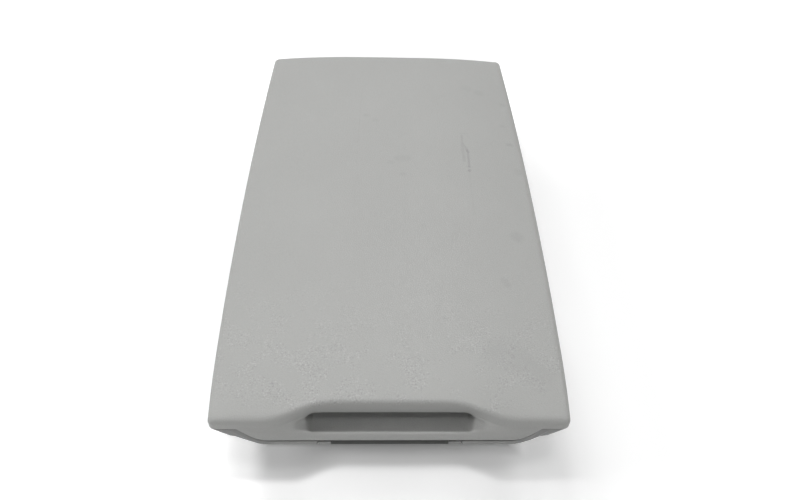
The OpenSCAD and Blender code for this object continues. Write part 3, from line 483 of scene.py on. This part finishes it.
def segment_mask(nt, xyz, start, end, width, soft):
    """1 on a short stroke on the top of the lid, fading to 0 over its soft edge. Millimetres."""
    ax, ay = start[0] * MM, start[1] * MM
    dx, dy = (end[0] - start[0]) * MM, (end[1] - start[1]) * MM
    length2 = dx * dx + dy * dy
    px = math_node(nt, "SUBTRACT", xyz["X"], ax)
    py = math_node(nt, "SUBTRACT", xyz["Y"], ay)
    along = math_node(nt, "ADD", math_node(nt, "MULTIPLY", px, dx / length2),
                      math_node(nt, "MULTIPLY", py, dy / length2), clamp=True)
    qx = math_node(nt, "SUBTRACT", px, math_node(nt, "MULTIPLY", along, dx))
    qy = math_node(nt, "SUBTRACT", py, math_node(nt, "MULTIPLY", along, dy))
    return ramp(nt, length_of(nt, qx, qy), (width + soft) * MM, width * MM)


def skin_relief(nt, shader, place):
    """Pebbles with creases between them, as a bump. Returns 0 in a crease and 1 on a pebble."""
    shift = nt.nodes.new("ShaderNodeVectorMath")
    shift.operation = "SCALE"
    shift.inputs["Scale"].default_value = WARP
    nt.links.new(noise(nt, place, WARP_SCALE)["Color"], shift.inputs[0])
    bent = nt.nodes.new("ShaderNodeVectorMath")
    bent.operation = "ADD"
    nt.links.new(place, bent.inputs[0])
    nt.links.new(shift.outputs["Vector"], bent.inputs[1])
    pebble = nt.nodes.new("ShaderNodeTexVoronoi")
    pebble.feature = "DISTANCE_TO_EDGE"
    pebble.inputs["Scale"].default_value = PEBBLE_SCALE
    pebble.inputs["Randomness"].default_value = 1
    nt.links.new(bent.outputs["Vector"], pebble.inputs["Vector"])
    raised = ramp(nt, pebble.outputs["Distance"], 0.0, CREASE)
    fine = noise(nt, place, FINE_SCALE, FINE_DETAIL)["Fac"]
    height = math_node(nt, "ADD", raised, math_node(nt, "MULTIPLY", fine, FINE_SHARE))
    add_bump(nt, shader, height, SKIN_BUMP, SKIN_BUMP_DEPTH)
    return raised


def skin_marks(nt, place, xyz, on_top):
    """How dark the marks of use on the top are."""
    dark = None
    for start, end, width, soft, amount in MARKS:
        one = math_node(nt, "MULTIPLY", segment_mask(nt, xyz, start, end, width, soft), amount)
        dark = one if dark is None else math_node(nt, "MAXIMUM", dark, one)
    uneven = noise(nt, place, MARK_SCALE, MARK_DETAIL)["Fac"]
    uneven = math_node(nt, "MULTIPLY_ADD", uneven, MARK_GAIN, MARK_OFFSET)
    return math_node(nt, "MULTIPLY", math_node(nt, "MULTIPLY", dark, on_top), uneven)


def in_recess(nt, xyz):
    """1 inside the finger recess, 0 outside it."""
    aside = math_node(nt, "ABSOLUTE", xyz["X"])
    across = ramp(nt, aside, (PULL_HALF + SHADE_END) * MM, (PULL_HALF - SHADE_END) * MM)
    behind = ramp(nt, xyz["Y"], LID_FRONT * MM, (LID_FRONT + SHADE_FRONT) * MM)
    lip_z = EDGE_Z - LIP_H
    below = ramp(nt, xyz["Z"], (lip_z + SHADE_LIP) * MM, (lip_z - SHADE_LIP) * MM)
    return math_node(nt, "MULTIPLY", across, math_node(nt, "MULTIPLY", behind, below))


def skin_painted_specks(nt, place, xyz, on_top):
    """How dark and how light the specks of the grain are, as painted shade and painted glints, and
    how much of them shows: in patches on the top, and more towards the front."""
    speck = noise(nt, place, SPECK_SCALE, SPECK_DETAIL)["Fac"]
    patch = ramp(nt, noise(nt, place, PATCH_SCALE)["Fac"], *PATCH_LEVELS)
    forward = ramp(nt, xyz["Y"], SPECK_STRETCH[0] * MM, SPECK_STRETCH[1] * MM)
    forward = math_node(nt, "MULTIPLY_ADD", forward, SPECK_GAIN, SPECK_REAR)
    shown = math_node(nt, "MULTIPLY", math_node(nt, "MULTIPLY", patch, forward), on_top)
    dark = math_node(nt, "MULTIPLY", ramp(nt, speck, *SHADE_LEVELS), SPECK_SHARE)
    light = math_node(nt, "MULTIPLY", ramp(nt, speck, *GLINT_LEVELS), SPECK_SHARE)
    return dark, light, shown


def skin_material():
    """Grained soft skin, with painted shade in the finger recess and in the creases of the grain,
    painted glints and shade in its specks, and marks of use on the top.
    """
    m, nt, shader, place = new_material("pad_skin")
    shader.inputs["Roughness"].default_value = SKIN_ROUGHNESS
    shader.inputs["Specular IOR Level"].default_value = SKIN_SPECULAR
    xyz = separate(nt, place)
    on_top = ramp(nt, xyz["Z"], (EDGE_Z - TOP_FADE) * MM, EDGE_Z * MM, "LINEAR")
    creased = math_node(nt, "SUBTRACT", 1.0, skin_relief(nt, shader, place))
    # painted shade: darker in the finger recess and in the creases of the grain
    painted_shade = math_node(nt, "MULTIPLY_ADD", in_recess(nt, xyz), PULL_SHADE,
                     math_node(nt, "MULTIPLY", creased, CREASE_SHADE))
    shade_specks, glint_specks, shown = skin_painted_specks(nt, place, xyz, on_top)
    dark = math_node(nt, "ADD", skin_marks(nt, place, xyz, on_top), painted_shade)
    # painted shade in the dark specks of the grain
    dark = math_node(nt, "MULTIPLY_ADD", shade_specks, shown, dark)
    tone = drift(nt, place, SKIN, SKIN_DRIFT, SKIN_DRIFT_SCALE)
    # painted glints in the light specks of the grain
    tone = mix_colour(nt, math_node(nt, "MULTIPLY", glint_specks, shown), tone, SPECK_GLINT)
    nt.links.new(mix_colour(nt, dark, tone, DARK), shader.inputs["Base Color"])
    return m


def build_pad():
    """The padded lid: the same loft as the solid, with finer stations and a smooth skin."""
    sides = side_rows()
    half = stations()
    rows = len(sides)
    fronts = [front_rows(v if kind == "front" else CORNER_X) for kind, v in half]
    verts, faces = [], []
    n = 2 * len(half) - 2
    for k in range(rows):
        right = [pad_point(kind, v, k, sides, fronts[i]) for i, (kind, v) in enumerate(half)]
        left = [(-x, y, z) for x, y, z in reversed(right[1:-1])]
        verts += [Vector(p) * MM for p in right + left]
    for k in range(rows - 1):
        for i in range(n):
            j = (i + 1) % n
            faces.append((k * n + i, (k + 1) * n + i, (k + 1) * n + j, k * n + j))
    mesh = bpy.data.meshes.new("lid_pad_skin")
    mesh.from_pydata(verts, [], faces)
    mesh.validate()
    # The two rings of the pocket's edge and roof stay sharp
    crease = mesh.attributes.new("crease_edge", "FLOAT", "EDGE")
    for e in mesh.edges:
        a, b = e.vertices[0] // n, e.vertices[1] // n
        crease.data[e.index].value = 1.0 if a == b and a >= rows - 2 else 0.0
    pad = bpy.data.objects.new("lid_pad_skin", mesh)
    bpy.context.scene.collection.objects.link(pad)
    sub = pad.modifiers.new("Smooth", "SUBSURF")
    sub.levels = SMOOTH_LEVELS
    sub.render_levels = SMOOTH_LEVELS
    apply_modifiers(pad)
    close_rings(pad.data)
    pad.data.materials.append(skin_material())
    return pad


def close_rings(mesh):
    """Closes the level strip along the middle of the top and the roof of the pocket, each with one
    flat face."""
    work = bmesh.new()
    work.from_mesh(mesh)
    rim = [e for e in work.edges if e.is_boundary]
    bmesh.ops.holes_fill(work, edges=rim, sides=0)
    bmesh.ops.recalc_face_normals(work, faces=work.faces)
    for face in work.faces:
        face.smooth = len(face.verts) < 5
    work.to_mesh(mesh)
    work.free()


def apply_modifiers(obj):
    """Replaces the mesh of an object by what its modifiers make of it."""
    dg = bpy.context.evaluated_depsgraph_get()
    mesh = bpy.data.meshes.new_from_object(obj.evaluated_get(dg))
    obj.modifiers.clear()
    obj.data = mesh


pad = build_pad()
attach(pad, "lid")
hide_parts("lid_pad")

# Materials of the other parts: colour, roughness, bump as scale per metre, strength and depth in
# metres, metallic, coat
LOOKS = {
    "carrier_plastic": ((0.05, 0.05, 0.054), 0.55, (900, 0.25, 0.0002), 0, 0),
    "liner_plastic": ((0.085, 0.085, 0.088), 0.6, (1100, 0.35, 0.0002), 0, 0),
    "shell_plastic": ((0.21, 0.213, 0.207), 0.5, (1300, 0.3, 0.0002), 0, 0),
    "tub_plastic": ((0.09, 0.09, 0.094), 0.55, (1100, 0.35, 0.0002), 0, 0),
    "paddle_plastic": ((0.196, 0.198, 0.193), 0.48, (1300, 0.3, 0.0002), 0, 0),
    "latch_plastic": ((0.03, 0.03, 0.032), 0.45, (700, 0.2, 0.0002), 0, 0),
    "bush_plastic": ((0.66, 0.64, 0.57), 0.4, (600, 0.15, 0.0002), 0, 0),
    "mat_rubber": ((0.018, 0.018, 0.018), 0.75, (1500, 0.4, 0.0002), 0, 0),
    "bumper_rubber": ((0.015, 0.015, 0.015), 0.7, (900, 0.3, 0.0002), 0, 0),
    "frame_steel": ((0.03, 0.03, 0.032), 0.4, (350, 0.25, 0.0002), 0, 0.2),
    "zinc_steel": ((0.62, 0.61, 0.58), 0.34, (500, 0.15, 0.0001), 1, 0),
    "spring_steel": ((0.4, 0.4, 0.41), 0.3, (900, 0.1, 0.0001), 1, 0),
}
made = {slot: plain_material(slot, *look) for slot, look in LOOKS.items()}
for sub in frame["record"]["subparts"]:
    if sub["node"] != "lid_pad":
        mesh = nodes[sub["node"]].data
        mesh.materials.clear()
        mesh.materials.append(made[sub["material_slot"]])

# Camera, as fitted to the four corners of the lid and its front edge: width of the frame and focal
# length in pixels, sensor in millimetres, nearest distance and place in metres, and its turns from
# looking level along +Y
IMAGE_W = 800
FOCAL_PX = 720
SENSOR_W = 36
CLIP_START = 0.01
CAMERA_AT = Vector((-0.0085, -0.4142, 0.4879))
YAW, DOWN, ROLL = math.radians(2.62), math.radians(48.1), math.radians(2.32)


def build_camera():
    """The camera of the photo."""
    forward = Vector((math.sin(YAW) * math.cos(DOWN), math.cos(YAW) * math.cos(DOWN),
                      -math.sin(DOWN)))
    level = Vector((math.cos(YAW), -math.sin(YAW), 0))
    upright = level.cross(forward)
    right = level * math.cos(ROLL) + upright * math.sin(ROLL)
    up = upright * math.cos(ROLL) - level * math.sin(ROLL)
    lens = bpy.data.cameras.new("camera")
    lens.sensor_width = SENSOR_W
    lens.lens = SENSOR_W * FOCAL_PX / IMAGE_W
    lens.clip_start = CLIP_START
    obj = bpy.data.objects.new("camera", lens)
    bpy.context.scene.collection.objects.link(obj)
    turn = Matrix((right, up, -forward)).transposed()
    obj.matrix_world = Matrix.Translation(CAMERA_AT) @ turn.to_4x4()
    return obj


bpy.context.scene.camera = build_camera()

# Floor: half its size in metres, how pale it looks, and how much light it gives back to the part,
# which is also the colour of the painted contact shadow under it
FLOOR_HALF = 3.0
FLOOR_SEEN = 0.95
FLOOR_BOUNCE = 0.55
FLOOR_ROUGHNESS = 0.9
FLOOR_SPECULAR = 0.1
# Half width and half length of the part over the floor in millimetres. Distances from this
# rectangle are below zero inside it: where the painted contact shadow under the part gives way to
# the pale floor, where it starts to glow and glows fully, and where it turns plain white far away
FOOT = (114.0, 195.0)
CONTACT_SHADOW_EDGE = (-29.0, -24.0)
GLOW_EDGE = (-27.0, -14.0)
FAR_EDGE = (200.0, 900.0)
# Brightness of the overexposed floor from left to right, as a base and rises or falls over
# stretches in millimetres: in the shadow close to the front, from a distance ahead of the middle on
CLOSE_FROM = (150.0, 166.0)
CLOSE_BASE = 0.31
CLOSE_STEPS = ((-104, -84, -0.31), (-66, -26, 0.19), (30, 66, -0.06), (76, 100, 0.12),
               (100, 130, -0.25))
# beside the part, where the right side grows brighter nearer to the part towards the rear
SIDE_BASE = 0.06
LEFT_STEPS = ((-124, -112, -0.06),)
RIGHT_STEPS = ((128, 162, 0.17),)
RIGHT_SHIFT = 9.0
RIGHT_STRETCH = (-120.0, -50.0)
# behind it
REAR_FROM = (90.0, 206.0)
REAR_GLOW = 0.14
# and beyond the edge of the shadow at the front, which reaches further out at the two corners
BEYOND_FROM = (181.0, 189.0)
BEYOND_BASE = 0.36
BEYOND_STEPS = ((-60, -30, -0.12), (60, 100, -0.08), (112, 160, -0.16))
SHADOW_MIDDLE = 8.0
SHADOW_CORNER = (40.0, 76.0)
SHADOW_OUT = 11.0


def is_seen(nt):
    """1 for camera, glossy and transmission rays, 0 for the rays that carry light."""
    path = nt.nodes.new("ShaderNodeLightPath")
    seen = math_node(nt, "ADD", path.outputs["Is Camera Ray"], path.outputs["Is Glossy Ray"])
    return math_node(nt, "ADD", seen, path.outputs["Is Transmission Ray"], clamp=True)


def box_distance(nt, x, y, half_x, half_y):
    """Distance from a rectangle about the origin, below zero inside it."""
    dx = math_node(nt, "SUBTRACT", math_node(nt, "ABSOLUTE", x), half_x)
    dy = math_node(nt, "SUBTRACT", math_node(nt, "ABSOLUTE", y), half_y)
    outside = length_of(nt, math_node(nt, "MAXIMUM", dx, 0.0), math_node(nt, "MAXIMUM", dy, 0.0))
    inside = math_node(nt, "MINIMUM", math_node(nt, "MAXIMUM", dx, dy), 0.0)
    return math_node(nt, "ADD", outside, inside)


def steps(nt, value, base, rows):
    """A level that starts at base and rises or falls by an amount over each (start, end, amount)."""
    level = base
    for start, end, amount in rows:
        level = math_node(nt, "MULTIPLY_ADD", ramp(nt, value, start, end), amount, level)
    return level


def floor_glow(nt, x, y, away):
    """Brightness of the overexposed white floor: none under the part, a little near it, and more
    beyond the edge of its shadow. Takes the place and the distance from the part in millimetres."""
    fore = math_node(nt, "MULTIPLY", y, -1.0)
    close = math_node(nt, "MULTIPLY", steps(nt, x, CLOSE_BASE, CLOSE_STEPS),
                      ramp(nt, fore, *CLOSE_FROM))
    shifted = math_node(nt, "MULTIPLY_ADD", ramp(nt, y, *RIGHT_STRETCH), RIGHT_SHIFT, x)
    sides = math_node(nt, "ADD", steps(nt, x, SIDE_BASE, LEFT_STEPS),
                      steps(nt, shifted, 0.0, RIGHT_STEPS))
    sides = math_node(nt, "MULTIPLY_ADD", ramp(nt, y, *REAR_FROM), REAR_GLOW, sides)
    near = math_node(nt, "MULTIPLY", ramp(nt, away, *GLOW_EDGE), math_node(nt, "ADD", close, sides))
    aside = math_node(nt, "ABSOLUTE", math_node(nt, "SUBTRACT", x, SHADOW_MIDDLE))
    reach = math_node(nt, "MULTIPLY_ADD", ramp(nt, aside, *SHADOW_CORNER), -SHADOW_OUT, fore)
    beyond = math_node(nt, "MULTIPLY", ramp(nt, reach, *BEYOND_FROM),
                       steps(nt, x, BEYOND_BASE, BEYOND_STEPS))
    return math_node(nt, "ADD", math_node(nt, "ADD", near, beyond), ramp(nt, away, *FAR_EDGE))


def build_floor():
    """A pale floor that takes the shadow, with a painted contact shadow under the part, and shows
    white around it.
    """
    h = FLOOR_HALF
    mesh = bpy.data.meshes.new("floor")
    mesh.from_pydata([(-h, -h, 0), (h, -h, 0), (h, h, 0), (-h, h, 0)], [], [(0, 1, 2, 3)])
    floor = bpy.data.objects.new("floor", mesh)
    bpy.context.scene.collection.objects.link(floor)
    m, nt, shader, place = new_material("floor")
    xyz = separate(nt, place)
    x, y = math_node(nt, "MULTIPLY", xyz["X"], 1 / MM), math_node(nt, "MULTIPLY", xyz["Y"], 1 / MM)
    away = box_distance(nt, x, y, *FOOT)
    seen = is_seen(nt)
    # painted contact shadow: under the part the camera sees the floor at the darker colour it
    # bounces light with
    outside_contact_shadow = math_node(nt, "MULTIPLY", seen, ramp(nt, away, *CONTACT_SHADOW_EDGE))
    tint = mix_colour(nt, outside_contact_shadow, (FLOOR_BOUNCE,) * 3, (FLOOR_SEEN,) * 3)
    nt.links.new(tint, shader.inputs["Base Color"])
    glow = math_node(nt, "MULTIPLY", seen, floor_glow(nt, x, y, away))
    nt.links.new(glow, shader.inputs["Emission Strength"])
    shader.inputs["Emission Color"].default_value = (1, 1, 1, 1)
    shader.inputs["Roughness"].default_value = FLOOR_ROUGHNESS
    shader.inputs["Specular IOR Level"].default_value = FLOOR_SPECULAR
    mesh.materials.append(m)
    return floor


floor = build_floor()

world = bpy.data.worlds.new("world")
bpy.context.scene.world = world
world.use_nodes = True
sky = world.node_tree
background = sky.nodes["Background"]
background.inputs["Color"].default_value = (1, 1, 1, 1)
sky.links.new(is_seen(sky), background.inputs["Strength"])

# Soft square lamps turned to the origin: name, place and side in metres, power in watts
LAMPS = (
    ("behind", (0, 1.8, 3.2), 1.2, 70),
    ("behind_left", (-1.0, 0.3, 1.8), 0.4, 3.6),
    ("left", (-1.5, 0, 1.0), 0.8, 10.7),
    ("right", (1.5, 0, 1.0), 0.8, 4.9),
    ("front", (0, -1.5, 0.9), 0.8, 8.4),
    ("overhead", (0, -0.5, 1.8), 0.25, 4.2),
)


def add_lamp(name, at, side, power):
    """A soft square lamp at a place, turned to the origin."""
    light = bpy.data.lights.new(name, "AREA")
    light.shape = "RECTANGLE"
    light.size, light.size_y = side, side
    light.energy = power
    obj = bpy.data.objects.new(name, light)
    obj.location = at
    obj.rotation_euler = (Vector((0, 0, 0)) - Vector(at)).to_track_quat("-Z", "Y").to_euler()
    bpy.context.scene.collection.objects.link(obj)


for lamp in LAMPS:
    add_lamp(*lamp)

bpy.context.scene.view_settings.view_transform = "Standard"
